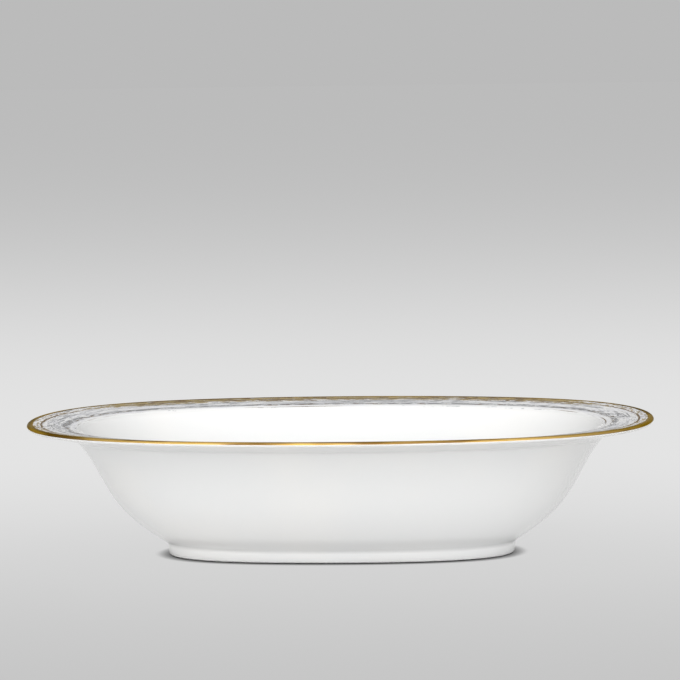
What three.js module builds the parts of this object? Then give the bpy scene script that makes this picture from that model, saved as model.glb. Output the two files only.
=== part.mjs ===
// Oval footed serving bowl in fired china: a white body with a wide flat rim, an oval foot ring
// luted on below, and fired-on bands of gold and silver-grey over the rim.
//
// Millimetres, +Z up. The origin is on the table under the middle of the bowl.
// X runs along the bowl and Y across it.
//
// Every piece is one section turned round the bowl. A section point is (half-length, height),
// and the ring that it sweeps is an oval of that half-length.

import * as THREE from 'three';

// Overall sizes, measured over the gold edge.
const RIM_LENGTH = 273;
const RIM_WIDTH = 204;
const HEIGHT = 59;

// Flat rim. Insets run inwards from the bowl's outer edge.
const LIP_THICKNESS = 2.2;
const RIM_TILT = THREE.MathUtils.degToRad(7);
const UNDERSIDE_TILT = THREE.MathUtils.degToRad(13);
const SHOULDER_INSET = 21.5;
const SHOULDER_ROUNDING = 2.6;
const WALL_INSET = 20.2;
const UNDER_RIM_ROUNDING = 2.4;

// Wall and floor of the well. The floor's core is flat, and starts this far inside the foot.
const WALL_THICKNESS = 3.5;
const FLOOR_THICKNESS = 4;
const FLOOR_ROUNDING = 6;
const FLOOR_CORE_INSET = 15;

// The wall's outer face is a curve between the rim and the foot. A turn is the angle between its
// end and the straight line through both ends, and a pull is how far the end holds that direction.
const WALL_TOP_TURN = THREE.MathUtils.degToRad(0);
const WALL_FOOT_TURN = THREE.MathUtils.degToRad(18);
const WALL_TOP_PULL = 0.4;
const WALL_FOOT_PULL = 0.56;

// Foot ring, measured where it joins the well.
const FOOT_LENGTH = 152.6;
const FOOT_WIDTH = 76;
const FOOT_HEIGHT = 4.9;
const FOOT_THICKNESS = 5;
const FOOT_TAPER = 0.7;
const FOOT_EDGE_ROUNDING = 0.6;

// Clearances: the slip joint over the foot, and the hair's breadth under each printed band.
const FOOT_JOINT_GAP = 0.3;
const PRINT_GAP = 0.1;
const PRINT_THICKNESS = 0.15;

// Printed bands, as distances along the rim's surface from the outermost point of the lip.
// The gold edge starts a little below that point, at this turn of the lip's round.
const GOLD_EDGE_START = THREE.MathUtils.degToRad(-4);
const GOLD_EDGE_OVER = 3.2;
const GOLD_STROKES_WIDTH = 4.1;
const SILVER_STROKES_WIDTH = 13.1;
const SHOULDER_LINE_WIDTH = 1.1;
const BAND_SPACE = 0.3;

// Plan shape: 0 is a true ellipse, and more makes the oval's quarters fuller.
const OVAL_FULLNESS = 0.033;

// Fineness of the surfaces, and the least room between a rounding and the next step of the wall.
const STEPS_ROUND = 72;
const STEP_CLEARANCE = 1.2;
const ROUNDING_STEPS = 4;
const WALL_STEPS = 9;

// ---- Plan: how wide an oval is for its length ----

// Rim and foot set the width at their own lengths, and it changes evenly between them.
const footHalf = FOOT_LENGTH / 2;
const flare = (RIM_WIDTH - FOOT_WIDTH) / (RIM_LENGTH - FOOT_LENGTH);
const coreHalf = footHalf - FLOOR_CORE_INSET;

function halfWidthFor(halfLength) {
  const evenly = (half) => FOOT_WIDTH / 2 + flare * (half - footHalf);
  if (halfLength < coreHalf) {
    return (halfLength * evenly(coreHalf)) / coreHalf;
  }
  return evenly(halfLength);
}

function turnedOval(section) {
  const geometry = new THREE.LatheGeometry(section, STEPS_ROUND);
  geometry.rotateX(Math.PI / 2);
  const place = geometry.attributes.position;
  for (let i = 0; i < place.count; i += 1) {
    const halfLength = Math.hypot(place.getX(i), place.getY(i));
    const turn = Math.atan2(place.getY(i), place.getX(i));
    const alongX = (1 + OVAL_FULLNESS) * Math.cos(turn) - OVAL_FULLNESS * Math.cos(3 * turn);
    const alongY = (1 + OVAL_FULLNESS) * Math.sin(turn) + OVAL_FULLNESS * Math.sin(3 * turn);
    place.setXY(i, halfLength * alongX, halfWidthFor(halfLength) * alongY);
  }
  geometry.computeVertexNormals();
  return geometry;
}

// ---- Section helpers ----

const at = (halfLength, height) => new THREE.Vector2(halfLength, height);

const heading = (angle) => at(Math.cos(angle), Math.sin(angle));

const moved = (point, direction, distance) => point.clone().addScaledVector(direction, distance);

// Where the line through `point` along `direction` meets the line through `other` along `across`.
function meeting(point, direction, other, across) {
  const distance = other.clone().sub(point).cross(across) / direction.cross(across);
  return moved(point, direction, distance);
}

// The run of points moved off to its right-hand side.
function offsetRun(run, distance) {
  return run.map((point, i) => {
    const before = run[Math.max(i - 1, 0)];
    const after = run[Math.min(i + 1, run.length - 1)];
    const along = after.clone().sub(before).normalize();
    return moved(point, at(along.y, -along.x), distance);
  });
}

// ---- Section of the body, going round it anticlockwise from the middle of its underside ----

const printHeight = PRINT_GAP + PRINT_THICKNESS;
const bodyHalf = RIM_LENGTH / 2 - printHeight;
const underside = FOOT_HEIGHT + FOOT_JOINT_GAP;
const floorTop = underside + FLOOR_THICKNESS;

// Lip: a round edge that runs smoothly into the rim's underside and its top.
const lipRadius = LIP_THICKNESS / 2;
const lipCentre = at(bodyHalf - lipRadius, HEIGHT - printHeight - lipRadius);
const lipStart = -Math.PI / 2 + UNDERSIDE_TILT;
const lipEnd = Math.PI / 2 + RIM_TILT;
const underRimInwards = heading(Math.PI + UNDERSIDE_TILT);
const overRimInwards = heading(Math.PI + RIM_TILT);
const lipBelow = moved(lipCentre, heading(lipStart), lipRadius);
const lipAbove = moved(lipCentre, heading(lipEnd), lipRadius);
const upright = at(0, 1);

// Points round the lip, `distance` off its surface, with one at its outermost and highest places.
function lipRun(distance, start) {
  const turns = [start, start / 2, 0, Math.PI / 4, Math.PI / 2, lipEnd];
  return turns.map((turn) => moved(lipCentre, heading(turn), lipRadius + distance));
}

// Wall's outer face.
const underRimCorner = meeting(lipBelow, underRimInwards, at(bodyHalf - WALL_INSET, 0), upright);
const footCorner = at(footHalf, underside);
const chord = underRimCorner.clone().sub(footCorner);
const chordAngle = chord.angle();
const wallTopHeading = heading(chordAngle + WALL_TOP_TURN);
const wallFootHeading = heading(chordAngle - WALL_FOOT_TURN);
const wallFace = new THREE.CubicBezierCurve(
  footCorner,
  moved(footCorner, wallFootHeading, chord.length() * WALL_FOOT_PULL),
  moved(underRimCorner, wallTopHeading, -chord.length() * WALL_TOP_PULL),
  underRimCorner,
);
const wallRun = wallFace.getPoints(WALL_STEPS);
const wallBelowRounding = wallRun.filter(
  (point) => point.distanceTo(underRimCorner) > UNDER_RIM_ROUNDING + STEP_CLEARANCE,
);
const underRimRounding = new THREE.QuadraticBezierCurve(
  moved(underRimCorner, wallTopHeading, -UNDER_RIM_ROUNDING),
  underRimCorner,
  moved(underRimCorner, underRimInwards, -UNDER_RIM_ROUNDING),
);

// Shoulder: where the rim's top turns down into the well.
const innerRun = offsetRun(wallRun, -WALL_THICKNESS);
const innerTop = innerRun.at(-1);
const shoulderCorner = meeting(
  lipAbove,
  overRimInwards,
  at(bodyHalf - SHOULDER_INSET, 0),
  upright,
);
const shoulderDown = innerTop.clone().sub(shoulderCorner).normalize();
const shoulderFoot = moved(shoulderCorner, shoulderDown, SHOULDER_ROUNDING);
const shoulder = new THREE.QuadraticBezierCurve(
  moved(shoulderCorner, overRimInwards, -SHOULDER_ROUNDING),
  shoulderCorner,
  shoulderFoot,
);

// Wall's inner face, from the shoulder down to where it turns into the floor.
const innerWall = innerRun
  .filter((point) => point.y < shoulderFoot.y - STEP_CLEARANCE)
  .filter((point) => point.y > floorTop + FLOOR_ROUNDING)
  .reverse();
const innerFoot = innerWall.at(-1);
const innerFootHeading = innerFoot.clone().sub(innerWall.at(-2)).normalize();
const floorCorner = meeting(innerFoot, innerFootHeading, at(0, floorTop), at(1, 0));
const floorRounding = new THREE.QuadraticBezierCurve(
  innerFoot,
  floorCorner,
  at(floorCorner.x - floorCorner.distanceTo(innerFoot), floorTop),
);

// The decorated surface, from the outermost point of the lip over the rim and down into the well.
const lipUpperRun = lipRun(0, lipStart).slice(2);
const decoratedSurface = [...lipUpperRun, ...shoulder.getPoints(ROUNDING_STEPS), ...innerWall];

function bodySection() {
  return [
    at(0, underside),
    ...wallBelowRounding,
    ...underRimRounding.getPoints(ROUNDING_STEPS),
    ...lipRun(0, lipStart),
    ...shoulder.getPoints(ROUNDING_STEPS),
    ...innerWall,
    ...floorRounding.getPoints(ROUNDING_STEPS).slice(1),
    at(0, floorTop),
  ];
}

// ---- Section of the foot ring ----

function footSection() {
  const innerHalf = footHalf - FOOT_THICKNESS;
  const outerFoot = at(footHalf - FOOT_TAPER, 0);
  const innerFootCorner = at(innerHalf + FOOT_TAPER, 0);
  const upOutside = at(FOOT_TAPER, FOOT_HEIGHT).normalize();
  const upInside = at(-FOOT_TAPER, FOOT_HEIGHT).normalize();
  const innerEdge = new THREE.QuadraticBezierCurve(
    moved(innerFootCorner, upInside, FOOT_EDGE_ROUNDING),
    innerFootCorner,
    moved(innerFootCorner, at(1, 0), FOOT_EDGE_ROUNDING),
  );
  const outerEdge = new THREE.QuadraticBezierCurve(
    moved(outerFoot, at(-1, 0), FOOT_EDGE_ROUNDING),
    outerFoot,
    moved(outerFoot, upOutside, FOOT_EDGE_ROUNDING),
  );
  const start = at(innerHalf, FOOT_HEIGHT);
  return [
    start,
    ...innerEdge.getPoints(2),
    ...outerEdge.getPoints(2),
    at(footHalf, FOOT_HEIGHT),
    start.clone(),
  ];
}

// ---- Sections of the printed bands ----

// A thin closed strip that floats PRINT_GAP over a run of surface points.
function stripOver(run) {
  const above = offsetRun(run, printHeight);
  const below = offsetRun(run, PRINT_GAP).reverse();
  return [...above, ...below, above[0].clone()];
}

// The part of the decorated surface between two distances along it.
function surfaceRun(from, to) {
  const run = [];
  let walked = 0;
  decoratedSurface.slice(1).forEach((end, i) => {
    const start = decoratedSurface[i];
    const step = start.distanceTo(end);
    const enter = Math.max(from, walked);
    const leave = Math.min(to, walked + step);
    if (enter < leave) {
      if (run.length === 0) {
        run.push(start.clone().lerp(end, (enter - walked) / step));
      }
      run.push(start.clone().lerp(end, (leave - walked) / step));
    }
    walked += step;
  });
  return run;
}

const goldStrokesStart = GOLD_EDGE_OVER + BAND_SPACE;
const silverStrokesStart = goldStrokesStart + GOLD_STROKES_WIDTH + BAND_SPACE;
const shoulderLineStart = silverStrokesStart + SILVER_STROKES_WIDTH + BAND_SPACE;

// The edge band starts just below the lip's outermost point and follows its round to the top.
function goldEdgeSection() {
  const overLip = surfaceRun(0, GOLD_EDGE_OVER).at(-1);
  const bandFace = (distance) => [
    ...lipRun(distance, GOLD_EDGE_START),
    moved(overLip, heading(lipEnd), distance),
  ];
  const outer = bandFace(printHeight);
  return [...outer, ...bandFace(PRINT_GAP).reverse(), outer[0].clone()];
}

// ---- Materials ----

const whiteGlaze = new THREE.MeshStandardMaterial({ color: 0xf4f3f0, roughness: 0.12, metalness: 0 });
const footGlaze = new THREE.MeshStandardMaterial({ color: 0xf1f0ed, roughness: 0.2, metalness: 0 });
const burnishedGold = new THREE.MeshStandardMaterial({ color: 0xc9963f, roughness: 0.25, metalness: 1 });
const goldStrokes = new THREE.MeshStandardMaterial({ color: 0xb39a5c, roughness: 0.35, metalness: 0.7 });
const silverStrokes = new THREE.MeshStandardMaterial({ color: 0xc6c9d2, roughness: 0.3, metalness: 0.2 });
const antiqueGold = new THREE.MeshStandardMaterial({ color: 0xa57d4a, roughness: 0.35, metalness: 0.7 });

// ---- Assembly ----

function piece(name, section, material) {
  const mesh = new THREE.Mesh(turnedOval(section), material);
  mesh.name = name;
  return mesh;
}

const bowl = new THREE.Group();

const body = new THREE.Group();
body.add(piece('bowl_body', bodySection(), whiteGlaze));
body.add(piece('foot_ring', footSection(), footGlaze));
bowl.add(body);

const decoration = new THREE.Group();
decoration.add(piece('gold_edge_band', goldEdgeSection(), burnishedGold));
decoration.add(
  piece(
    'gold_stroke_band',
    stripOver(surfaceRun(goldStrokesStart, goldStrokesStart + GOLD_STROKES_WIDTH)),
    goldStrokes,
  ),
);
decoration.add(
  piece(
    'silver_stroke_band',
    stripOver(surfaceRun(silverStrokesStart, silverStrokesStart + SILVER_STROKES_WIDTH)),
    silverStrokes,
  ),
);
decoration.add(
  piece(
    'shoulder_gold_line',
    stripOver(surfaceRun(shoulderLineStart, shoulderLineStart + SHOULDER_LINE_WIDTH)),
    antiqueGold,
  ),
);
bowl.add(decoration);

export default bowl;
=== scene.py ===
"""Oval footed serving bowl in white china, with a gold edge and brushed gold and silver rim bands.

Every piece is raised ring by ring from one oval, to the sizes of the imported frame. Metres, +Z up.
"""

import logging
import math
from dataclasses import dataclass
from enum import Enum

import bmesh
import bpy
from mathutils import Matrix, Vector
from mathutils.geometry import interpolate_bezier


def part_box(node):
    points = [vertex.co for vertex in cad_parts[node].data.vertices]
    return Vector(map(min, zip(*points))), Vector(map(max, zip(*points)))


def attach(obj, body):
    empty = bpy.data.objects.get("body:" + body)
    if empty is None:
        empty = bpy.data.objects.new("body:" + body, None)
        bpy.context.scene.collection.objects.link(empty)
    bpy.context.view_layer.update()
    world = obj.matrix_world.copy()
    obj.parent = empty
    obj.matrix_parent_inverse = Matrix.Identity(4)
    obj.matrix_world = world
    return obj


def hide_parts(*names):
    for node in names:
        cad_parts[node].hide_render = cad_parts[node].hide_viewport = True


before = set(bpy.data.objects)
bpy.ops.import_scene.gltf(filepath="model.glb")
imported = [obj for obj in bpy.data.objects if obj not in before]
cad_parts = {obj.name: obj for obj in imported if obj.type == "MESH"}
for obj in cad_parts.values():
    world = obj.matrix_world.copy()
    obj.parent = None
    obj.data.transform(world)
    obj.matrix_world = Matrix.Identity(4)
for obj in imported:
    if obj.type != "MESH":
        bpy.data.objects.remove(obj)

MM = 0.001
Triple = tuple[float, float, float]
Socket = bpy.types.NodeSocket
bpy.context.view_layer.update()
PLACE = "rim_place"

log = logging.getLogger("serving_bowl")


# ---- Sections: curves in the plane of (reach, height) ----


class Way(Enum):
    """Which way a rounding turns as the section is walked."""

    LEFT = 1
    RIGHT = -1


@dataclass(frozen=True)
class Ring:
    """One oval ring of a piece.

    reach is half its length, height its level, and across how far it lies over the rim from the lip.
    """

    reach: float
    height: float
    across: float = 0.0


def heading(angle: float) -> Vector:
    """Unit direction in the section plane, at an angle in radians from straight outwards."""
    return Vector((math.cos(angle), math.sin(angle)))


def meeting(point: Vector, along: Vector, other: Vector, across: Vector) -> Vector:
    """Where two straight lines of the section meet.

    Args:
        point: a point on the first line.
        along: the first line's direction.
        other: a point on the second line.
        across: the second line's direction.

    Returns:
        The meeting point.
    """
    gap = other - point
    share = (gap.x * across.y - gap.y * across.x) / (along.x * across.y - along.y * across.x)
    return point + along * share


def arc(centre: Vector, radius: float, start: float, end: float, steps: int) -> list[Vector]:
    """Points round an arc, ends included, from one angle to another in so many chords."""
    turns = [start + (end - start) * i / steps for i in range(steps + 1)]
    return [centre + heading(turn) * radius for turn in turns]


def rounding(corner: Vector, arriving: Vector, leaving: Vector, radius: float, steps: int) -> list[Vector]:
    """An arc that rounds off a corner of the section.

    Args:
        corner: the sharp corner.
        arriving: the direction that the section arrives in.
        leaving: the direction that it leaves in.
        radius: the rounding's radius.
        steps: how many chords it has.

    Returns:
        The points, from the arriving side to the leaving side.
    """
    turn = arriving.angle_signed(leaving)
    way = Way.RIGHT if turn > 0 else Way.LEFT
    start = corner - arriving * radius * math.tan(abs(turn) / 2)
    sideways = Vector((-arriving.y, arriving.x)) * way.value
    centre = start + sideways * radius
    first = math.atan2(-sideways.y, -sideways.x)
    return arc(centre, radius, first, first + abs(turn) * way.value, steps)


def normals_of(run: list[Vector]) -> list[Vector]:
    """The direction to the right of a run of points, at each point.

    Args:
        run: the points.

    Returns:
        A unit direction for each point.
    """
    found = []
    for i in range(len(run)):
        along = (run[min(i + 1, len(run) - 1)] - run[max(i - 1, 0)]).normalized()
        found.append(Vector((along.y, -along.x)))
    return found


def offset(run: list[Vector], distance: float) -> list[Vector]:
    """The run moved off to its right by a distance."""
    return [point + normal * distance for point, normal in zip(run, normals_of(run))]


def part_of(run: list[Vector], start: float, end: float) -> list[tuple[Vector, float]]:
    """The part of a run between two distances along it.

    Args:
        run: the points.
        start: the distance to its first point.
        end: the distance to its last point.

    Returns:
        Points of the part, each with its distance along the whole run.
    """
    part, walked = [], 0.0
    for here, there in zip(run, run[1:]):
        step = (there - here).length
        enter, leave = max(start, walked), min(end, walked + step)
        if enter < leave:
            if not part:
                part.append((here.lerp(there, (enter - walked) / step), enter))
            part.append((here.lerp(there, (leave - walked) / step), leave))
        walked += step
    return part


# ---- The bowl's plan and section ----


@dataclass(frozen=True)
class OvalPlan:
    """Shape of the rings from above: how wide each one is for its reach."""

    rim_reach: float
    rim_width: float
    foot_reach: float
    foot_width: float
    fullness: float = 0.033
    core_inset: float = 15 * MM

    def half_width(self, reach: float) -> float:
        """Half the width of the ring with this reach.

        Args:
            reach: half the ring's length.

        Returns:
            Half its width.
        """
        flare = (self.rim_width - self.foot_width) / (self.rim_reach - self.foot_reach)
        core = self.foot_reach - self.core_inset
        if reach < core:
            return reach / core * self.half_width(core)
        return self.foot_width + flare * (reach - self.foot_reach)

    def outline(self, turn: float) -> tuple[float, float]:
        """Point on the unit ring, which is a little fuller than an ellipse.

        Args:
            turn: the angle round it, in radians.

        Returns:
            The point's x and y.
        """
        full = self.fullness
        return (
            (1 + full) * math.cos(turn) - full * math.cos(3 * turn),
            (1 + full) * math.sin(turn) + full * math.sin(3 * turn),
        )


@dataclass(frozen=True)
class BowlSection:
    """Half-section of the bowl, worked out from its outer sizes."""

    lip_reach: float
    lip_top: float
    foot_reach: float
    joint_height: float
    underside: float
    lip_thickness: float = 2.2 * MM
    rim_tilt: float = math.radians(7)
    underside_tilt: float = math.radians(13)
    shoulder_inset: float = 21.5 * MM
    shoulder_radius: float = 6.0 * MM
    wall_inset: float = 20.2 * MM
    under_rim_radius: float = 3.2 * MM
    wall_thickness: float = 3.5 * MM
    wall_top_pull: float = 0.4
    wall_foot_pull: float = 0.56
    wall_foot_turn: float = math.radians(18)
    floor_thickness: float = 4.0 * MM
    floor_blend: float = 7.0 * MM
    blend_pull: float = 0.62
    blend_steps: int = 16
    rounding_steps: int = 12
    wall_steps: int = 40
    flat_steps: int = 16
    clear_of_rounding: float = 0.5 * MM
    clear_of_shoulder: float = 2 * MM
    foot_fillet: float = 2.8 * MM

    def lip_centre(self) -> Vector:
        """Centre of the lip's round."""
        radius = self.lip_thickness / 2
        return Vector((self.lip_reach - radius, self.lip_top - radius))

    def lip_turns(self) -> tuple[float, float]:
        """Angles where the lip's round leaves the underside and reaches the top."""
        return -math.pi / 2 + self.underside_tilt, math.pi / 2 + self.rim_tilt

    def lip(self, start: float, steps: int) -> list[Vector]:
        """The lip's round, from an angle up to the rim's top."""
        return arc(self.lip_centre(), self.lip_thickness / 2, start, self.lip_turns()[1], steps)

    def top_inwards(self) -> Vector:
        """Direction of the rim's top, going inwards."""
        return heading(math.pi + self.rim_tilt)

    def under_corner(self) -> Vector:
        """Where the wall's outer face would meet the rim's underside, if it were sharp.

        Returns:
            The corner.
        """
        below = self.lip(self.lip_turns()[0], 1)[0]
        upright = Vector((0, 1))
        inset = Vector((self.lip_reach - self.wall_inset, 0))
        return meeting(below, heading(math.pi + self.underside_tilt), inset, upright)

    def foot_corner(self) -> Vector:
        """Where the wall's outer face would meet the foot's side, if it were sharp."""
        return Vector((self.foot_reach, self.underside))

    def wall(self) -> list[Vector]:
        """The wall's outer face, from the foot up to the rim's underside.

        Returns:
            The points.
        """
        foot, top = self.foot_corner(), self.under_corner()
        chord = top - foot
        lean = math.atan2(chord.y, chord.x)
        foot_handle = foot + heading(lean - self.wall_foot_turn) * chord.length * self.wall_foot_pull
        top_handle = top - heading(lean) * chord.length * self.wall_top_pull
        return interpolate_bezier(foot, foot_handle, top_handle, top, self.wall_steps + 1)

    def foot_side(self, taper: float) -> Vector:
        """Direction up the foot's outer side."""
        return Vector((taper, self.underside)).normalized()

    def foot_rounding(self, taper: float) -> list[Vector]:
        """The hollow between the foot's side and the wall.

        Args:
            taper: how far the foot's side leans in over its height.

        Returns:
            The points, going up.
        """
        wall = self.wall()
        leaving = (wall[1] - wall[0]).normalized()
        side = self.foot_side(taper)
        return rounding(self.foot_corner(), side, leaving, self.foot_fillet, self.rounding_steps)

    def under_rim(self) -> list[Vector]:
        """The hollow between the wall and the rim's underside.

        Returns:
            The points, going up and out.
        """
        wall = self.wall()
        arriving = (wall[-1] - wall[-2]).normalized()
        outwards = heading(self.underside_tilt)
        return rounding(wall[-1], arriving, outwards, self.under_rim_radius, 10)

    def outside(self, taper: float) -> list[Vector]:
        """The whole outside, from the foot's joint up to the start of the lip.

        Args:
            taper: how far the foot's side leans in over its height.

        Returns:
            The points.
        """
        hollow = self.foot_rounding(taper)
        under_rim = self.under_rim()
        wall = [
            point
            for point in self.wall()
            if hollow[-1].y + self.clear_of_rounding < point.y < under_rim[0].y - self.clear_of_rounding
        ]
        return hollow + wall + under_rim

    def shoulder(self) -> list[Vector]:
        """The round where the rim's top turns down into the well.

        Returns:
            The points, going inwards.
        """
        start = self.lip(0.0, 1)[-1]
        inset = Vector((self.lip_reach - self.shoulder_inset, 0))
        corner = meeting(start, self.top_inwards(), inset, Vector((0, 1)))
        inner = offset(self.wall(), -self.wall_thickness)
        down = (inner[-6] - corner).normalized()
        return rounding(corner, self.top_inwards(), down, self.shoulder_radius, self.rounding_steps)

    def decorated(self) -> list[Vector]:
        """The decorated surface, from the lip's outermost point over the rim to the shoulder's foot.

        Returns:
            The points.
        """
        lip, shoulder = self.lip(0.0, self.rounding_steps), self.shoulder()
        shares = [i / self.flat_steps for i in range(1, self.flat_steps)]
        flat = [lip[-1].lerp(shoulder[0], share) for share in shares]
        return lip + flat + shoulder

    def inner_wall(self) -> list[Vector]:
        """The well's wall, going down from the shoulder and round into the floor.

        Returns:
            The points.
        """
        shoulder_foot = self.shoulder()[-1]
        floor = self.underside + self.floor_thickness
        wall = [
            point
            for point in reversed(offset(self.wall(), -self.wall_thickness))
            if floor + self.floor_blend < point.y < shoulder_foot.y - self.clear_of_shoulder
        ]
        down = (wall[-1] - wall[-2]).normalized()
        corner = meeting(wall[-1], down, Vector((0, floor)), Vector((1, 0)))
        run_out = corner - Vector(((corner - wall[-1]).length, 0))
        blend = interpolate_bezier(
            wall[-1],
            wall[-1].lerp(corner, self.blend_pull),
            run_out.lerp(corner, self.blend_pull),
            run_out,
            self.blend_steps,
        )
        return wall[:-1] + list(blend)


# ---- Raising a piece from its rings ----


@dataclass
class OvalLoft:
    """A closed surface raised ring by ring in edit mode, each ring an oval of the plan."""

    name: str
    plan: OvalPlan
    steps_round: int = 256
    fine_steps: int = 2048
    smooth_below: float = math.radians(38)
    pole_shares: tuple[float, ...] = (0.72, 0.6, 0.4)

    def raise_piece(self, rings: list[Ring], poles: bool) -> bpy.types.Object:
        """Builds the piece.

        Args:
            rings: the section's rings, in order.
            poles: True for a body that closes at a middle point at both ends, False for a band
                whose last ring is its first.

        Returns:
            The finished object, at the origin, with its place in its mesh.
        """
        piece = self._first_ring(rings[0])
        for before, ring in zip(rings, rings[1:]):
            self._raise_to(before, ring)
        if poles:
            self._close_at_pole()
            bpy.ops.mesh.select_all(action="DESELECT")
            bpy.ops.mesh.select_non_manifold(extend=False, use_wire=False, use_multi_face=False)
            self._close_at_pole()
        bpy.ops.mesh.select_all(action="SELECT")
        bpy.ops.mesh.remove_doubles(threshold=MM / 500)
        bpy.ops.mesh.normals_make_consistent(inside=False)
        bpy.ops.object.mode_set(mode="OBJECT")
        bpy.ops.object.shade_smooth_by_angle(angle=self.smooth_below)
        return piece

    def _first_ring(self, ring: Ring) -> bpy.types.Object:
        """Adds a circle, fills it out to the plan's oval, and sizes it to the first ring.

        Args:
            ring: the first ring.

        Returns:
            The new object, left in edit mode with its ring selected.
        """
        bpy.ops.object.select_all(action="DESELECT")
        bpy.ops.mesh.primitive_circle_add(vertices=self.steps_round, radius=1.0, fill_type="NOTHING")
        piece = bpy.context.object
        piece.name = piece.data.name = self.name
        place = piece.data.attributes.new(PLACE, "FLOAT_VECTOR", "POINT")
        turns = [math.atan2(v.co.y, v.co.x) for v in piece.data.vertices]
        shares = self._shares_round(turns)
        for vertex, turn, share, where in zip(piece.data.vertices, turns, shares, place.data):
            vertex.co.x, vertex.co.y = self.plan.outline(turn)
            where.vector = (math.cos(share), math.sin(share), ring.across / MM)
        bpy.ops.object.mode_set(mode="EDIT")
        bpy.ops.mesh.select_mode(type="EDGE")
        bpy.ops.mesh.select_all(action="SELECT")
        width = self.plan.half_width(ring.reach)
        bpy.ops.transform.resize(value=(ring.reach, width, 1), center_override=(0, 0, 0))
        bpy.ops.transform.translate(value=(0, 0, ring.height))
        return piece

    def _shares_round(self, turns: list[float]) -> list[float]:
        """Even angles, by distance walked round the rim.

        Args:
            turns: the angles of the plan's points.

        Returns:
            For each turn, the share of the rim walked up to it, as an angle.
        """
        fine = self.fine_steps
        lengths, walked = [0.0], 0.0
        before = self._rim_point(0.0)
        for i in range(1, fine + 1):
            here = self._rim_point(2 * math.pi * i / fine)
            walked += (here - before).length
            lengths.append(walked)
            before = here
        steps = [round((turn % (2 * math.pi)) / (2 * math.pi) * fine) for turn in turns]
        return [2 * math.pi * lengths[step] / walked for step in steps]

    def _rim_point(self, turn: float) -> Vector:
        """Point of the rim from above at a turn."""
        x, y = self.plan.outline(turn)
        return Vector((x * self.plan.rim_reach, y * self.plan.rim_width))

    def _raise_to(self, before: Ring, ring: Ring) -> None:
        """Extrudes the selected ring and brings the new one to its size and level.

        Args:
            before: the selected ring.
            ring: the new one.
        """
        bpy.ops.mesh.extrude_edges_move(
            TRANSFORM_OT_translate={"value": (0, 0, ring.height - before.height)}
        )
        longer = ring.reach / before.reach
        wider = self.plan.half_width(ring.reach) / self.plan.half_width(before.reach)
        bpy.ops.transform.resize(value=(longer, wider, 1), center_override=(0, 0, ring.height))
        edit = bmesh.from_edit_mesh(bpy.context.object.data)
        place = edit.verts.layers.float_vector[PLACE]
        for vertex in edit.verts:
            if vertex.select:
                vertex[place].z = ring.across / MM

    def _close_at_pole(self) -> None:
        """Draws the selected ring in to the middle in even steps, and joins it there."""
        for share in self.pole_shares:
            bpy.ops.mesh.extrude_edges_move(TRANSFORM_OT_translate={"value": (0, 0, 0)})
            bpy.ops.transform.resize(value=(share, share, 1), center_override=(0, 0, 0))
        bpy.ops.mesh.merge(type="CENTER")


def hand_over(piece: bpy.types.Object, node: str, finish: bpy.types.Material) -> None:
    """Dresses a finished piece and puts it in the place of its CAD node.

    Args:
        piece: the finished object.
        node: the CAD node that it stands for.
        finish: the material that it wears.
    """
    piece.data.materials.clear()
    piece.data.materials.append(finish)
    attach(piece, "root")
    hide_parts(node)
    log.info("%s: %d faces, in place of %s", piece.name, len(piece.data.polygons), node)


# ---- Finishes ----


class Paint(Enum):
    """Ceramic colours and fired metals: base colour, how metallic each is, and its roughness."""

    GOLD = ((0.62, 0.48, 0.22), 0.6, 0.38)
    OLIVE_GOLD = ((0.44, 0.36, 0.19), 0.4, 0.42)
    BROWN_GOLD = ((0.20, 0.14, 0.08), 0.3, 0.45)
    SILVER = ((0.29, 0.30, 0.32), 0.2, 0.40)
    PALE_SILVER = ((0.50, 0.51, 0.53), 0.1, 0.36)
    WHITE = ((0.89, 0.89, 0.885), 0.0, 0.26)

    @property
    def colour(self) -> tuple[float, float, float, float]:
        """Base colour with full alpha."""
        return (*self.value[0], 1.0)

    @property
    def metal(self) -> float:
        """How metallic the paint is."""
        return self.value[1]

    @property
    def roughness(self) -> float:
        """Roughness of the fired paint."""
        return self.value[2]


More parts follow.
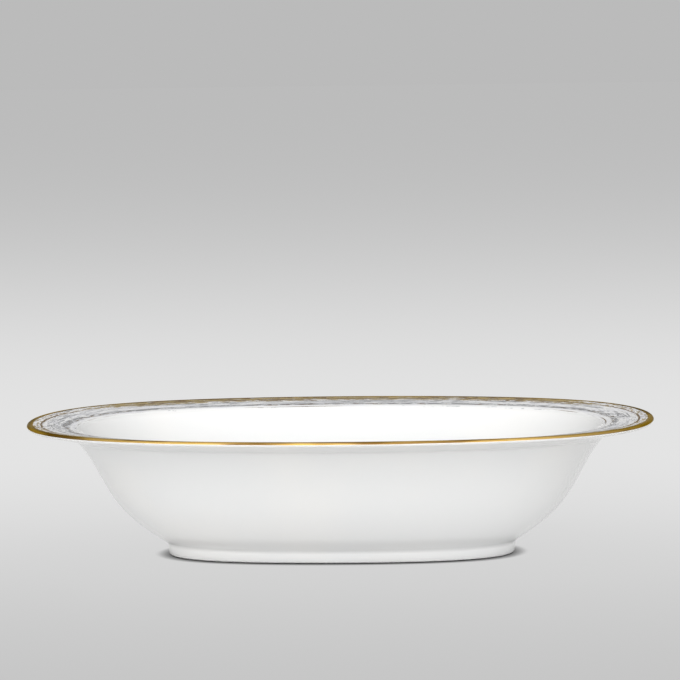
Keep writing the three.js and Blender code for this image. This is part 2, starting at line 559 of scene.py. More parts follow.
@dataclass
class Bench:
    """The nodes of a material or of the sky, with short calls for those that they use."""

    owner: bpy.types.Material | bpy.types.World

    @classmethod
    def named(cls, name: str) -> "Bench":
        """A bench for a new material that holds only its shader and output.

        Args:
            name: the material's name.

        Returns:
            The bench.
        """
        material = bpy.data.materials.new(name)
        material.use_nodes = True
        return cls(material)

    @property
    def shader(self) -> bpy.types.ShaderNode:
        """The material's Principled shader."""
        return self.owner.node_tree.nodes["Principled BSDF"]

    def add(self, kind: str, **settings: object) -> bpy.types.ShaderNode:
        """Adds a node and sets its properties.

        Args:
            kind: the node's type.
            **settings: its properties, by name.

        Returns:
            The node.
        """
        node = self.owner.node_tree.nodes.new(kind)
        for name, value in settings.items():
            setattr(node, name, value)
        return node

    def feed(self, socket: Socket, source: object) -> None:
        """Gives a socket a number or colour, or links it to another socket.

        Args:
            socket: the input.
            source: the number, the colour or the output that it takes.
        """
        if isinstance(source, Socket):
            self.owner.node_tree.links.new(source, socket)
        else:
            socket.default_value = source

    def wear(self, name: str, value: object) -> None:
        """Sets one of the shader's inputs, or links it to an output."""
        self.feed(self.shader.inputs[name], value)

    def maths(self, operation: str, *terms: object) -> Socket:
        """One step of arithmetic.

        Args:
            operation: the Math node's operation.
            *terms: up to three numbers or outputs.

        Returns:
            The result.
        """
        node = self.add("ShaderNodeMath", operation=operation)
        for socket, term in zip(node.inputs, terms):
            self.feed(socket, term)
        return node.outputs[0]

    def step(self, value: object, low: float, high: float) -> Socket:
        """Rises smoothly from 0 to 1 as a value goes from low to high.

        Args:
            value: the number or output.
            low: where it is still 0.
            high: where it is 1.

        Returns:
            The share.
        """
        node = self.add("ShaderNodeMapRange", interpolation_type="SMOOTHSTEP")
        self.feed(node.inputs["Value"], value)
        node.inputs["From Min"].default_value = low
        node.inputs["From Max"].default_value = high
        return node.outputs["Result"]

    def between(self, share: object, low: object, high: object) -> Socket:
        """A number that goes from low to high with a share.

        Args:
            share: 0 at low and 1 at high.
            low: the number or output at 0.
            high: the number or output at 1.

        Returns:
            The mixed number.
        """
        node = self.add("ShaderNodeMix", data_type="FLOAT")
        self.feed(node.inputs[0], share)
        self.feed(node.inputs[2], low)
        self.feed(node.inputs[3], high)
        return node.outputs[0]

    def tint(self, share: object, first: object, second: object) -> Socket:
        """A colour that goes from the first to the second with a share.

        Args:
            share: 0 at the first and 1 at the second.
            first: the colour or output at 0.
            second: the colour or output at 1.

        Returns:
            The mixed colour.
        """
        node = self.add("ShaderNodeMix", data_type="RGBA")
        self.feed(node.inputs[0], share)
        self.feed(node.inputs[6], first)
        self.feed(node.inputs[7], second)
        return node.outputs[2]

    def noise(self, where: object, scale: float, detail: float = 2.0) -> Socket:
        """Cloudy noise about one half.

        Args:
            where: the position.
            scale: how fine the noise is.
            detail: how many finer octaves it has.

        Returns:
            The noise.
        """
        node = self.add("ShaderNodeTexNoise")
        self.feed(node.inputs["Vector"], where)
        node.inputs["Scale"].default_value = scale
        node.inputs["Detail"].default_value = detail
        return node.outputs["Fac"]

    def stretched(
        self, where: object, size: Triple, shift: float
    ) -> Socket:
        """A position divided by a size in each direction, and shifted.

        Args:
            where: the position.
            size: what it is divided by.
            shift: how far it is shifted, so that two noises differ.

        Returns:
            The new position.
        """
        node = self.add("ShaderNodeMapping", vector_type="POINT")
        self.feed(node.inputs["Vector"], where)
        node.inputs["Scale"].default_value = [1 / side for side in size]
        node.inputs["Location"].default_value = (shift, shift * 0.7, shift * 1.3)
        return node.outputs[0]

    def streaks(
        self, where: object, size: tuple[float, float], shift: float, detail: float = 2.0
    ) -> Socket:
        """Noise drawn out round the rim, with a streak's length and width across in millimetres."""
        long, wide = size
        return self.noise(self.stretched(where, (long, long, wide), shift), 1.0, detail)

    def rim_place(self, round_reach: float) -> tuple[Socket, Socket]:
        """Place on the rim, in millimetres, with no seam.

        Args:
            round_reach: radius of the circle that the rim is laid round.

        Returns:
            The position vector, and its distance across the rim.
        """
        stored = self.add("ShaderNodeAttribute", attribute_name=PLACE).outputs["Vector"]
        sized = self.add("ShaderNodeVectorMath", operation="MULTIPLY")
        self.feed(sized.inputs[0], stored)
        sized.inputs[1].default_value = (round_reach, round_reach, 1.0)
        return sized.outputs[0], self.apart(sized.outputs[0])[2]

    def apart(self, where: object) -> list[Socket]:
        """The three parts of a position or a direction.

        Args:
            where: the position or direction.

        Returns:
            Its x, y and z.
        """
        split = self.add("ShaderNodeSeparateXYZ")
        self.feed(split.inputs[0], where)
        return list(split.outputs)

    def object_place(self) -> Socket:
        """Position on the piece, in metres."""
        return self.add("ShaderNodeTexCoord").outputs["Object"]

    def bump(self, height: object, distance: float, strength: float) -> None:
        """Raises the surface by a height field.

        Args:
            height: the field.
            distance: its depth, in metres.
            strength: how much of it is used.
        """
        node = self.add("ShaderNodeBump")
        self.feed(node.inputs["Height"], height)
        node.inputs["Distance"].default_value = distance
        node.inputs["Strength"].default_value = strength
        self.feed(self.shader.inputs["Normal"], node.outputs[0])


# How softly a stroke starts, in noise, and how softly a layer or a line ends at its sides, in millimetres.
CRISPNESS = 0.03
SIDE_SOFTNESS = 0.1


@dataclass(frozen=True)
class Strokes:
    """A layer of dry-brushed strokes that run with the rim, thinner toward the bowl's ends.

    Lengths are in millimetres.
    """

    paint: Paint
    start: float
    end: float
    coverage: float
    length: float = 9.0
    width: float = 1.5
    patchiness: float = 0.35
    patch_length: float = 45.0
    patch_width: float = 7.0
    hair_share: float = 0.45
    hair_shorter: float = 5.0
    hair_finer: float = 2.5
    raggedness: float = 1.2
    thin_at_ends: float = 0.0
    ends_start: float = 90.0
    ends_reached: float = 112.0
    seed: float = 0.0

    def cover(self, bench: Bench, where: object, across: object) -> Socket:
        """Where the paint lies.

        Args:
            bench: the material's bench.
            where: the place on the rim.
            across: its distance across.

        Returns:
            1 on a stroke and 0 off it.
        """
        brushed = bench.streaks(where, (self.length, self.width), self.seed, 1.0)
        hair = (self.length / self.hair_shorter, self.width / self.hair_finer)
        hairs = bench.streaks(where, hair, self.seed + 9, 1.0)
        patches = bench.streaks(where, (self.patch_length, self.patch_width), self.seed + 21, 0.0)
        drawn = bench.maths("MULTIPLY_ADD", hairs, self.hair_share, brushed)
        raised = bench.maths("MULTIPLY_ADD", patches, self.patchiness, drawn)
        endwise = bench.maths("ABSOLUTE", bench.apart(where)[0])
        at_end = bench.step(endwise, self.ends_start, self.ends_reached)
        raised = bench.maths("MULTIPLY_ADD", at_end, -self.thin_at_ends, raised)
        middle = (1 + self.hair_share + self.patchiness + 0.5 - self.coverage) / 2
        painted = bench.step(raised, middle - CRISPNESS, middle + CRISPNESS)
        ragged = bench.maths("MULTIPLY_ADD", brushed, self.raggedness, -self.raggedness / 2)
        edge = bench.maths("ADD", across, ragged)
        past_end = bench.step(edge, self.end - SIDE_SOFTNESS, self.end + SIDE_SOFTNESS)
        inside = bench.maths(
            "MULTIPLY",
            bench.step(edge, self.start - SIDE_SOFTNESS, self.start + SIDE_SOFTNESS),
            bench.maths("SUBTRACT", 1.0, past_end),
        )
        return bench.maths("MULTIPLY", painted, inside)


@dataclass(frozen=True)
class BrokenLine:
    """A thin line round the rim, drawn with a dry brush. Lengths are in millimetres."""

    paint: Paint
    centre: float
    width: float
    coverage: float = 0.8
    wander: float = 0.5
    sway_size: tuple[float, float] = (14.0, 8.0)
    skip_range: float = 0.36
    skip_width: float = 1.4
    length: float = 16.0
    seed: float = 0.0

    def cover(self, bench: Bench, where: object, across: object) -> Socket:
        """Where the paint lies.

        Args:
            bench: the material's bench.
            where: the place on the rim.
            across: its distance across.

        Returns:
            1 on the line and 0 off it.
        """
        sway = bench.streaks(where, self.sway_size, self.seed)
        skips = bench.streaks(where, (self.length, self.width * self.skip_width), self.seed + 5, 3.0)
        swayed = bench.maths("MULTIPLY_ADD", sway, self.wander, -self.wander / 2 - self.centre)
        off_centre = bench.maths("ABSOLUTE", bench.maths("ADD", across, swayed))
        half = self.width / 2
        off_line = bench.step(off_centre, half - SIDE_SOFTNESS, half + SIDE_SOFTNESS)
        on_line = bench.maths("SUBTRACT", 1.0, off_line)
        middle = 0.5 + self.skip_range * (0.5 - self.coverage)
        kept = bench.step(skips, middle - CRISPNESS, middle + CRISPNESS)
        return bench.maths("MULTIPLY", on_line, kept)


@dataclass(frozen=True)
class PrintFinish:
    """A printed band: a pale ground with layers of strokes and lines fired on, under the gloss."""

    name: str
    round_reach: float
    ground: Paint
    cloud: Triple
    layers: tuple[Strokes | BrokenLine, ...]
    cloud_size: tuple[float, float] = (18.0, 2.2)
    cloud_seed: float = 3.0
    cloud_steps: tuple[float, float] = (0.4, 0.62)
    gloss: float = 0.25
    grazing: Triple = (0.7, 0.55, 0.35)
    paint_height: float = 0.02 * MM
    paint_strength: float = 0.5

    def make(self) -> bpy.types.Material:
        """Builds the material.

        Returns:
            The material.
        """
        bench = Bench.named(self.name)
        where, across = bench.rim_place(self.round_reach)
        clouds = bench.step(bench.streaks(where, self.cloud_size, self.cloud_seed), *self.cloud_steps)
        colour = bench.tint(clouds, self.ground.colour, (*self.cloud, 1.0))
        metal, roughness, height = 0.0, self.ground.roughness, 0.0
        for layer in self.layers:
            cover = layer.cover(bench, where, across)
            colour = bench.tint(cover, colour, layer.paint.colour)
            metal = bench.between(cover, metal, layer.paint.metal)
            roughness = bench.between(cover, roughness, layer.paint.roughness)
            height = bench.maths("MAXIMUM", height, cover)
        bench.wear("Base Color", colour)
        bench.wear("Metallic", metal)
        bench.wear("Roughness", roughness)
        bench.wear("Specular IOR Level", self.gloss)
        bench.wear("Specular Tint", (*self.grazing, 1.0))
        bench.bump(height, self.paint_height, self.paint_strength)
        return bench.owner


@dataclass(frozen=True)
class GoldFinish:
    """Burnished gold, banded on with a brush over the glaze: fine lines, and an uneven shine and edge."""

    name: str
    round_reach: float
    edge: float
    bright: Triple = (0.68, 0.45, 0.14)
    deep: Triple = (0.25, 0.145, 0.04)
    grazing: Triple = (0.47, 0.40, 0.16)
    sleek: float = 0.2
    brushed: float = 0.38
    edge_sway: float = 0.6
    edge_softness: float = 0.04
    bare_roughness: float = 0.1
    thick_size: tuple[float, float] = (34.0, 2.4)
    line_size: tuple[float, float] = (16.0, 0.14)
    sway_size: tuple[float, float] = (60.0, 9.0)
    thick_steps: tuple[float, float] = (0.38, 0.62)
    line_steps: tuple[float, float] = (0.3, 0.7)
    line_depth: float = 0.01 * MM
    line_strength: float = 0.4
    seeds: Triple = (2.0, 7.0, 5.0)

    def make(self) -> bpy.types.Material:
        """Builds the material.

        Returns:
            The material.
        """
        bench = Bench.named(self.name)
        where, across = bench.rim_place(self.round_reach)
        thick = bench.streaks(where, self.thick_size, self.seeds[0])
        lines = bench.streaks(where, self.line_size, self.seeds[1])
        share = bench.step(thick, *self.thick_steps)
        gold = bench.tint(share, (*self.bright, 1.0), (*self.deep, 1.0))
        sway = bench.streaks(where, self.sway_size, self.seeds[2])
        limit = bench.maths("MULTIPLY_ADD", sway, self.edge_sway, self.edge - self.edge_sway / 2)
        past = bench.maths("SUBTRACT", across, limit)
        banded = bench.step(past, -self.edge_softness, self.edge_softness)
        bench.wear("Base Color", bench.tint(banded, Paint.WHITE.colour, gold))
        bench.wear("Metallic", banded)
        roughness = bench.between(bench.step(lines, *self.line_steps), self.sleek, self.brushed)
        bench.wear("Roughness", bench.between(banded, self.bare_roughness, roughness))
        bench.wear("Specular Tint", (*self.grazing, 1.0))
        bench.bump(lines, self.line_depth, self.line_strength)
        return bench.owner


@dataclass(frozen=True)
class GlazeFinish:
    """Clear gloss glaze over white china. It lies a little unevenly, and is bare below a level."""

    name: str
    white: Triple = (0.885, 0.882, 0.868)
    pooled: Triple = (0.862, 0.866, 0.862)
    bare: Triple = (0.80, 0.775, 0.73)
    bare_below: float = -1.0
    gloss_roughness: float = 0.07
    uneven_roughness: float = 0.14
    bare_roughness: float = 0.75
    refraction: float = 1.52
    pool_fineness: float = 22.0
    edge_fineness: float = 300.0
    gloss_fineness: float = 60.0
    ripple_fineness: float = 90.0
    grain_fineness: float = 2600.0
    grain_shade: float = 0.92
    grain_height: float = 0.6
    edge_wave: float = 0.5 * MM
    edge_softness: float = 0.1 * MM
    ripple_depth: float = 0.02 * MM
    ripple_strength: float = 0.35

    def make(self) -> bpy.types.Material:
        """Builds the material.

        Returns:
            The material.
        """
        bench = Bench.named(self.name)
        where = bench.object_place()
        pools = bench.step(bench.noise(where, self.pool_fineness), 0.35, 0.65)
        colour = bench.tint(pools, (*self.white, 1.0), (*self.pooled, 1.0))
        wavy = bench.noise(where, self.edge_fineness)
        edge = bench.maths("MULTIPLY_ADD", wavy, self.edge_wave, bench.apart(where)[2])
        level = self.bare_below + self.edge_wave / 2
        glazed = bench.step(edge, level - self.edge_softness, level + self.edge_softness)
        grain = bench.noise(where, self.grain_fineness, 3.0)
        darker = [self.grain_shade * part for part in self.bare]
        biscuit = bench.tint(grain, (*self.bare, 1.0), (*darker, 1.0))
        bench.wear("Base Color", bench.tint(glazed, biscuit, colour))
        glossy = bench.noise(where, self.gloss_fineness)
        uneven = bench.between(glossy, self.gloss_roughness, self.uneven_roughness)
        bench.wear("Roughness", bench.between(glazed, self.bare_roughness, uneven))
        bench.wear("IOR", self.refraction)
        wave = bench.noise(where, self.ripple_fineness, 1.0)
        ripple = bench.between(glazed, bench.maths("MULTIPLY", grain, self.grain_height), wave)
        bench.bump(ripple, self.ripple_depth, self.ripple_strength)
        return bench.owner


# ---- Sub-assemblies ----


def split_at(run: list[Vector], height: float) -> tuple[list[Vector], list[Vector]]:
    """Cuts a run that only rises, or only falls, at a height.

    Args:
        run: the points.
        height: where it is cut.

    Returns:
        The points before the cut and the points after it, both with the cut's own point.
    """
    for i, (here, there) in enumerate(zip(run, run[1:])):
        if min(here.y, there.y) <= height <= max(here.y, there.y) and here.y != there.y:
            cut = here.lerp(there, (height - here.y) / (there.y - here.y))
            return run[: i + 1] + [cut], [cut] + run[i + 1 :]
    raise ValueError(f"the run doesn't cross {height}")


def rings_of(points: list[Vector]) -> list[Ring]:
    """Plain rings through points of the section, without any that repeat.

    Args:
        points: the section's points, in order.

    Returns:
        The rings.
    """
    kept = [points[0]]
    for point in points[1:]:
        if (point - kept[-1]).length > MM / 50:
            kept.append(point)
    return [Ring(point.x, point.y) for point in kept]


@dataclass(frozen=True)
class FootSection:
    """Half-section of the foot ring, and the hollows that join it to the bowl."""

    section: BowlSection
    thickness: float = 5.0 * MM
    taper: float = 0.7 * MM
    inner_hollow: float = 1.6 * MM
    edge_rounding: float = 0.9 * MM
    rounding_steps: int = 10

    def inner_reach(self) -> float:
        """Reach of the ring's inner side."""
        return self.section.foot_reach - self.thickness

    def outer_hollow(self) -> list[Vector]:
        """The hollow from the ring's outer side up to the bowl's wall."""
        return self.section.foot_rounding(self.taper)

    def inside_hollow(self) -> list[Vector]:
        """The hollow from the bowl's underside down to the ring's inner side."""
        corner = Vector((self.inner_reach(), self.section.underside))
        return rounding(corner, Vector((1, 0)), Vector((0, -1)), self.inner_hollow, self.rounding_steps)

    def resting_edge(self) -> list[Vector]:
        """The rounded inner edge, the flat that the bowl rests on, and the rounded outer edge.

        Returns:
            The points.
        """
        out = Vector((1, 0))
        down = Vector((0, -1))
        side = self.section.foot_side(self.taper)
        inner_corner = Vector((self.inner_reach(), 0))
        outer_corner = Vector((self.section.foot_reach - self.taper, 0))
        inner = rounding(inner_corner, down, out, self.edge_rounding, self.rounding_steps)
        outer = rounding(outer_corner, out, side, self.edge_rounding, self.rounding_steps)
        return inner + outer


@dataclass
class BowlBody:
    """The glazed bowl: flat base, flaring wall, rounded shoulder and flat rim."""

    section: BowlSection
    foot: FootSection
    plan: OvalPlan
    finish: GlazeFinish = GlazeFinish("white_glaze")
    lip_steps: int = 12

    def build(self) -> bpy.types.Object:
        """Raises the bowl from the middle of its base, up over the rim and down into the well.

        Returns:
            The finished object.
        """
        section = self.section
        core = self.plan.foot_reach - self.plan.core_inset
        base, _ = split_at(self.foot.inside_hollow(), section.joint_height)
        _, hollow = split_at(section.outside(self.foot.taper), section.joint_height)
        turns = section.lip_turns()
        lower_lip = arc(section.lip_centre(), section.lip_thickness / 2, turns[0], 0.0, self.lip_steps)
        well = section.inner_wall()
        run = [Vector((core, section.underside))] + base + hollow + lower_lip
        run += section.decorated() + well + [Vector((core, well[-1].y))]
        return OvalLoft("bowl_body_glazed", self.plan).raise_piece(rings_of(run), poles=True)

    def dress(self, piece: bpy.types.Object) -> None:
        """Glazes the bowl."""
        hand_over(piece, "bowl_body", self.finish.make())


@dataclass
class FootRing:
    """The oval foot ring: glazed sides, and a bare face where it rests."""

    foot: FootSection
    plan: OvalPlan
    finish: GlazeFinish = GlazeFinish("foot_glaze", bare_below=0.12 * MM)

    def build(self) -> bpy.types.Object:
        """Raises the ring down its inner side, across its resting face and up its outer side.

        Returns:
            The finished object.
        """
        joint = self.foot.section.joint_height
        _, inside = split_at(self.foot.inside_hollow(), joint)
        outside, _ = split_at(self.foot.outer_hollow(), joint)
        hidden = (inside[0] + outside[-1]) / 2
        run = [hidden] + inside + self.foot.resting_edge() + outside + [hidden]
        return OvalLoft("foot_ring_glazed", self.plan).raise_piece(rings_of(run), poles=False)

    def dress(self, piece: bpy.types.Object) -> None:
        """Glazes the ring above its resting face."""
        hand_over(piece, "foot_ring", self.finish.make())


@dataclass
class RimBand:
    """A thin band fired on the rim, between two distances from the lip's outermost point."""

    name: str
    node: str
    slot: str
    finish: GoldFinish | PrintFinish
    start: float
    end: float
    section: BowlSection
    plan: OvalPlan
    proud: float = 0.05 * MM
    sunk: float = 0.02 * MM
    below_lip: float = 0.0
    lip_steps: int = 8

    def build(self) -> bpy.types.Object:
        """Raises the band: over its top, and back through the glaze beneath it.

        Returns:
            The finished object.
        """
        surface = part_of(self.section.decorated(), self.start, self.end)
        radius = self.section.lip_thickness / 2
        lead = []
        if self.below_lip:
            turned = arc(self.section.lip_centre(), radius, -self.below_lip, 0.0, self.lip_steps)
            drop = self.below_lip / self.lip_steps
            lead = [(p, (i - self.lip_steps) * drop * radius) for i, p in enumerate(turned[:-1])]
        placed = lead + surface
        points = [point for point, _ in placed]
        acrosses = [across for _, across in placed]
        top = [Ring(p.x, p.y, a) for p, a in zip(offset(points, self.proud), acrosses)]
        under = [Ring(p.x, p.y, a) for p, a in zip(offset(points, -self.sunk), acrosses)]
        rings = under[:1] + top + under[::-1]
        return OvalLoft(self.name, self.plan).raise_piece(rings, poles=False)

    def dress(self, piece: bpy.types.Object) -> None:
        """Fires the band's gold or colours."""
        hand_over(piece, self.node, self.finish.make())


# ---- The studio ----


@dataclass(frozen=True)
class Table:
    """A pale table that glows with painted light, a little lighter behind the bowl, with a painted shadow
    close round its foot.

    Most of its light is its own, so that the bowl stands on an even sheet without a cast shadow.
    """

    size: float = 200.0
    middle: float = 4.0
    even: float = 0.50
    glow: float = 0.27
    glow_place: float = 0.4
    glow_near: float = 0.60
    glow_far: float = 1.6
    # Share of the table's brightness that is its own painted glow, and share that the sky lights.
    lit_from_below: float = 0.95
    lit_from_above: float = 0.06
    # Painted contact shadow round the foot: how far it reaches, how dark it goes, and how far its
    # occlusion leans back so that it reaches further in front.
    painted_shadow_reach: float = 6.5 * MM
    painted_shadow_depth: float = -0.25
    painted_shadow_lean: float = math.radians(25)
    roughness: float = 0.9

    def build(self) -> bpy.types.Object:
        """Lays a small square in the middle, with a wide border, so that no edge runs near the bowl.

        Returns:
            The table.
        """
        bpy.ops.object.select_all(action="DESELECT")
        bpy.ops.mesh.primitive_plane_add(size=self.middle)
        table = bpy.context.object
        bpy.ops.object.mode_set(mode="EDIT")
        bpy.ops.mesh.select_all(action="SELECT")
        bpy.ops.mesh.region_to_loop()
        bpy.ops.mesh.extrude_edges_move()
        grown = self.size / self.middle
        bpy.ops.transform.resize(value=(grown, grown, 1.0))
        bpy.ops.object.mode_set(mode="OBJECT")
        table.name = "pale_table"
        return table

    def dress(self, table: bpy.types.Object) -> None:
        """Paints the table and hands it to the stage.

        Args:
            table: the table.
        """
        bench = Bench.named("pale_table")
        tone = self._tone(bench)
        # Painted light: the front-to-back tone is painted into the table's colour and into its own glow,
        # which gives most of its brightness.
        bench.wear("Base Color", bench.maths("MULTIPLY", tone, self.lit_from_above))
        bench.wear("Emission Color", (1.0, 1.0, 1.0, 1.0))
        lit = bench.maths("MULTIPLY", tone, self._lit(bench))
        bench.wear("Emission Strength", lit)
        bench.wear("Roughness", self.roughness)
        bench.wear("Specular IOR Level", 0.0)
        table.data.materials.append(bench.owner)

    def _tone(self, bench: Bench) -> Socket:
        """How light the table is painted from front to back: painted light, lightest a little behind the
        bowl.

        Args:
            bench: the table's bench.

        Returns:
            The tone.
        """
        beyond = bench.maths("SUBTRACT", bench.apart(bench.object_place())[1], self.glow_place)
        near = bench.maths("POWER", bench.maths("DIVIDE", beyond, self.glow_near), 2.0)
        near_glow = bench.maths("EXPONENT", bench.maths("MULTIPLY", near, -1.0))
        far = bench.maths("POWER", bench.maths("DIVIDE", beyond, self.glow_far), 2.0)
        far_glow = bench.maths("DIVIDE", 1.0, bench.maths("ADD", far, 1.0))
        is_far = bench.maths("GREATER_THAN", beyond, 0.0)
        glow = bench.between(is_far, near_glow, far_glow)
        return bench.maths("MULTIPLY_ADD", glow, self.glow, self.even)

    def _lit(self, bench: Bench) -> Socket:
        """How much of its own painted light the table gives, less close round the foot, where a painted
        shadow comes from ambient occlusion, and most in front.

        Args:
            bench: the table's bench.

        Returns:
            The share.
        """
        # Painted shadow: ambient occlusion dims the table's own glow close round the foot.
        hidden = bench.add("ShaderNodeAmbientOcclusion", samples=16)
        hidden.inputs["Distance"].default_value = self.painted_shadow_reach
        backward = bench.add("ShaderNodeCombineXYZ")
        backward.inputs["Y"].default_value = math.sin(self.painted_shadow_lean)
        backward.inputs["Z"].default_value = math.cos(self.painted_shadow_lean)
        bench.feed(hidden.inputs["Normal"], backward.outputs[0])
        return bench.between(hidden.outputs["AO"], self.painted_shadow_depth, self.lit_from_below)


@dataclass(frozen=True)
class SoftLight:
    """Light from all round, with a softbox above the camera and a low strip in front."""

    even: float = 0.497
    softbox: float = 1.08
    softbox_height: float = math.radians(54)
    softbox_narrowness: float = 2.8
    low_light: float = 5.4
    low_light_height: float = 0.20
    side_shade: float = 0.65
    side_shade_height: float = 0.30
    side_start: float = 0.55
    side_end: float = 0.95

    def build(self) -> None:
        """Gives the scene its sky."""
        sky = bpy.data.worlds.new("soft_light")
        bpy.context.scene.world = sky
        sky.use_nodes = True
        bench = Bench(sky)
        towards = bench.add("ShaderNodeTexCoord").outputs["Generated"]
        sideways, backward, upward = bench.apart(towards)
        total = bench.maths("MULTIPLY_ADD", self._softbox(bench, towards), self.softbox, self.even)
        low = bench.maths("EXPONENT", bench.maths("MULTIPLY", self._rise(bench, upward), -1.0))
        ahead = bench.maths("MAXIMUM", bench.maths("MULTIPLY", backward, -1.0), 0.0)
        low = bench.maths("MULTIPLY", low, bench.maths("POWER", ahead, 2.0))
        total = bench.maths("MULTIPLY_ADD", low, self.low_light, total)
        beside = bench.step(bench.maths("ABSOLUTE", sideways), self.side_start, self.side_end)
        above = bench.step(upward, 0.0, self.side_shade_height)
        beside = bench.maths("MULTIPLY", beside, bench.maths("SUBTRACT", 1.0, above))
        shade = bench.maths("MULTIPLY_ADD", beside, -self.side_shade, 1.0)
        background = sky.node_tree.nodes["Background"]
        background.inputs["Color"].default_value = (1.0, 1.0, 1.0, 1.0)
        bench.feed(background.inputs["Strength"], bench.maths("MULTIPLY", total, shade))

    def _softbox(self, bench: Bench, towards: object) -> Socket:
        """The softbox's share of the light in each direction.

        Args:
            bench: the sky's bench.
            towards: the direction.

        Returns:
            1 at its middle, falling to 0.
        """
        facing = bench.add("ShaderNodeVectorMath", operation="DOT_PRODUCT")
        bench.feed(facing.inputs[0], towards)
        middle = (0.0, -math.cos(self.softbox_height), math.sin(self.softbox_height))
        facing.inputs[1].default_value = middle
        square_on = bench.maths("MAXIMUM", facing.outputs["Value"], 0.0)
        return bench.maths("POWER", square_on, self.softbox_narrowness)

    def _rise(self, bench: Bench, upward: object) -> Socket:
        """How far a direction rises out of the low strip, squared."""
        return bench.maths("POWER", bench.maths("DIVIDE", upward, self.low_light_height), 2.0)


@dataclass(frozen=True)
class FrontCamera:
    """The camera: in front, a little above the rim and a little to one side."""

    pivot: Triple = (0.0, 0.0, 0.030)
    aim: Triple = (0.00035, 0.0, 0.0930)
    azimuth: float = math.radians(2.99)
    elevation: float = math.radians(6.76)
    distance: float = 1.5
    roll: float = math.radians(-0.714)
    lens: float = 181.3
    sensor_width: float = 36.0
    clip_end: float = 500.0

    def build(self) -> None:
        """Places the camera and makes it the scene's."""
        away = Vector(
            (
                math.sin(self.azimuth) * math.cos(self.elevation),
                -math.cos(self.azimuth) * math.cos(self.elevation),
                math.sin(self.elevation),
            )
        )
        eye = Vector(self.pivot) + away * self.distance
        look = Vector(self.aim) - eye
        bpy.ops.object.camera_add(location=eye)
        camera = bpy.context.object
        camera.name = "front_camera"
        turn = look.to_track_quat("-Z", "Y").to_matrix().to_4x4()
        roll = Matrix.Rotation(self.roll, 4, "Z")
        camera.matrix_world = Matrix.Translation(eye) @ turn @ roll
        camera.data.lens = self.lens
        camera.data.sensor_width = self.sensor_width
        camera.data.clip_end = self.clip_end
        scene = bpy.context.scene
        scene.camera = camera
        scene.view_settings.view_transform = "Standard"


# ---- The whole bowl ----


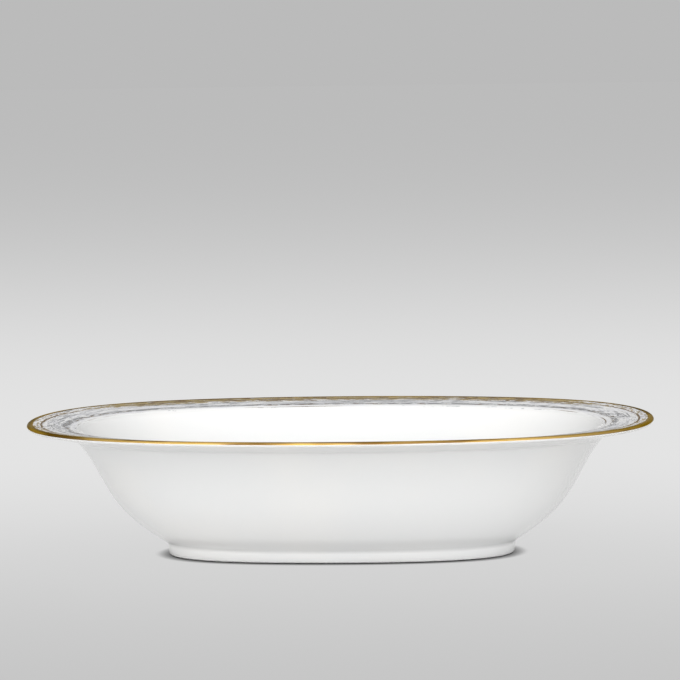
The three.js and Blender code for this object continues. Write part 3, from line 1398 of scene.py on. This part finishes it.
@dataclass
class ServingBowl:
    """The bowl and its decoration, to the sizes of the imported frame."""

    glaze_to_gold: float = 0.06 * MM
    round_reach: float = 120.0

    def __post_init__(self) -> None:
        """Reads the outer sizes from the frame."""
        _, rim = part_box("gold_edge_band")
        _, foot_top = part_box("foot_ring")
        base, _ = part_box("bowl_body")
        self.plan = OvalPlan(rim[0], rim[1], foot_top[0], foot_top[1])
        self.section = BowlSection(
            lip_reach=rim[0] - self.glaze_to_gold,
            lip_top=rim[2] - self.glaze_to_gold,
            foot_reach=foot_top[0],
            joint_height=foot_top[2],
            underside=base[2],
        )

    def band(
        self,
        names: tuple[str, str],
        finish: GoldFinish | PrintFinish,
        span: tuple[float, float],
        **more: float,
    ) -> RimBand:
        """One rim band.

        Args:
            names: the piece's name and its CAD node.
            finish: what it wears. The record's slot has the finish's name.
            span: where it starts and ends over the rim, in millimetres.
            **more: any other sizes of the band.

        Returns:
            The band.
        """
        (name, node), (start, end) = names, span
        shared = {"section": self.section, "plan": self.plan, **more}
        return RimBand(name, node, finish.name, finish, start * MM, end * MM, **shared)

    def printed(
        self, slot: str, cloud: Triple, layers: tuple[Strokes | BrokenLine, ...]
    ) -> PrintFinish:
        """The finish of a printed band."""
        return PrintFinish(slot, self.round_reach, ground=Paint.WHITE, cloud=cloud, layers=layers)

    def gold_strokes(self) -> PrintFinish:
        """Dense gold, olive and brown strokes over pale silver, with a brown line.

        Returns:
            Their finish.
        """
        layers = (
            Strokes(Paint.PALE_SILVER, 3.0, 8.5, 0.30, 12.0, 1.0, seed=11.0),
            Strokes(Paint.OLIVE_GOLD, 3.0, 8.9, 0.80, 6.0, 1.2, thin_at_ends=0.22, seed=37.0),
            Strokes(Paint.GOLD, 3.0, 7.8, 0.42, 8.0, 1.1, thin_at_ends=0.2, seed=51.0),
            Strokes(Paint.BROWN_GOLD, 3.2, 8.6, 0.36, 5.0, 1.1, thin_at_ends=0.1, seed=31.0),
            BrokenLine(Paint.BROWN_GOLD, 6.9, 1.0, coverage=0.75, seed=41.0),
        )
        return self.printed("gold_strokes", (0.76, 0.75, 0.78), layers)

    def silver_strokes(self) -> PrintFinish:
        """Silver strokes, with gold ones that stray in from the lip and a darker inner border.

        Returns:
            Their finish.
        """
        layers = (
            Strokes(Paint.PALE_SILVER, 8.0, 19.4, 0.40, 11.0, 1.2, seed=61.0),
            Strokes(Paint.OLIVE_GOLD, 7.0, 10.2, 0.50, 5.0, 1.2, thin_at_ends=0.24, seed=67.0),
            Strokes(Paint.GOLD, 7.0, 9.0, 0.26, 5.0, 1.1, thin_at_ends=0.3, seed=69.0),
            Strokes(Paint.BROWN_GOLD, 7.0, 11.0, 0.24, 4.0, 1.1, thin_at_ends=0.25, seed=73.0),
            Strokes(Paint.SILVER, 10.0, 18.6, 0.24, 6.0, 1.1, seed=71.0),
            BrokenLine(Paint.SILVER, 11.6, 0.7, coverage=0.5, length=22.0, seed=81.0),
            Strokes(Paint.SILVER, 16.0, 18.9, 0.50, 4.5, 1.3, seed=83.0),
            Strokes(Paint.BROWN_GOLD, 16.6, 19.2, 0.24, 5.0, 1.2, seed=87.0),
        )
        return self.printed("silver_strokes", (0.82, 0.82, 0.85), layers)

    def shoulder_line(self) -> PrintFinish:
        """A broken brown-gold line where the rim turns down.

        Returns:
            Its finish.
        """
        layers = (
            Strokes(Paint.SILVER, 20.9, 22.3, 0.12, 9.0, 0.8, seed=93.0),
            BrokenLine(Paint.BROWN_GOLD, 21.3, 0.6, coverage=0.30, length=40.0, seed=91.0),
        )
        return self.printed("antique_gold", (0.88, 0.88, 0.885), layers)

    def pieces(self) -> list[BowlBody | FootRing | RimBand]:
        """The sub-assemblies, from the foot up.

        Returns:
            The sub-assemblies.
        """
        foot = FootSection(self.section)
        edge = GoldFinish("burnished_gold", self.round_reach, edge=0.08)
        wrapped = {"proud": self.glaze_to_gold, "below_lip": math.radians(10)}
        return [
            FootRing(foot, self.plan),
            BowlBody(self.section, foot, self.plan),
            self.band(("gold_edge_burnished", "gold_edge_band"), edge, (0.0, 3.2), **wrapped),
            self.band(("gold_strokes_print", "gold_stroke_band"), self.gold_strokes(), (3.2, 7.7)),
            self.band(("silver_strokes_print", "silver_stroke_band"), self.silver_strokes(), (7.7, 21.1)),
            self.band(("shoulder_line_print", "shoulder_gold_line"), self.shoulder_line(), (21.1, 22.4)),
        ]


def main() -> None:
    """Builds the bowl piece by piece, then the studio round it."""
    logging.basicConfig(level=logging.INFO)
    for part in ServingBowl().pieces():
        part.dress(part.build())
    table = Table()
    table.dress(table.build())
    SoftLight().build()
    FrontCamera().build()


if __name__ == "__main__":
    main()
